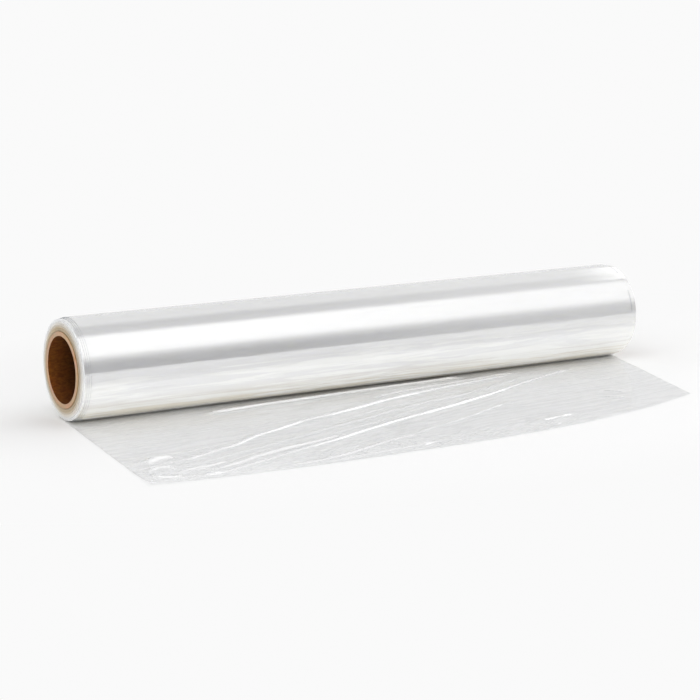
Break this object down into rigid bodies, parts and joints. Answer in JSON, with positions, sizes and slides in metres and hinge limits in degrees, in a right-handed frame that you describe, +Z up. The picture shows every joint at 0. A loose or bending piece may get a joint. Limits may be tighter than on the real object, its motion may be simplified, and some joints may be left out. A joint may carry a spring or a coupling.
{
  "type": "roasting film roll",
  "caption": "Roll of clear cooking film wound on a cardboard tube, with its creased free end drawn out flat in front of it.",
  "frame": {"origin": "centre of the cardboard tube's bore, halfway along the roll", "axes": "+X along the roll, -Y towards the cut edge of the free end, +Z up from the table"},
  "size_m": [0.3173, 0.1505, 0.0458],
  "materials": {
    "tube": "matte",
    "film": "gloss"
  },
  "bodies": {
    "root": {"tube": "tube", "film": "film"}
  },
  "joints": []
}
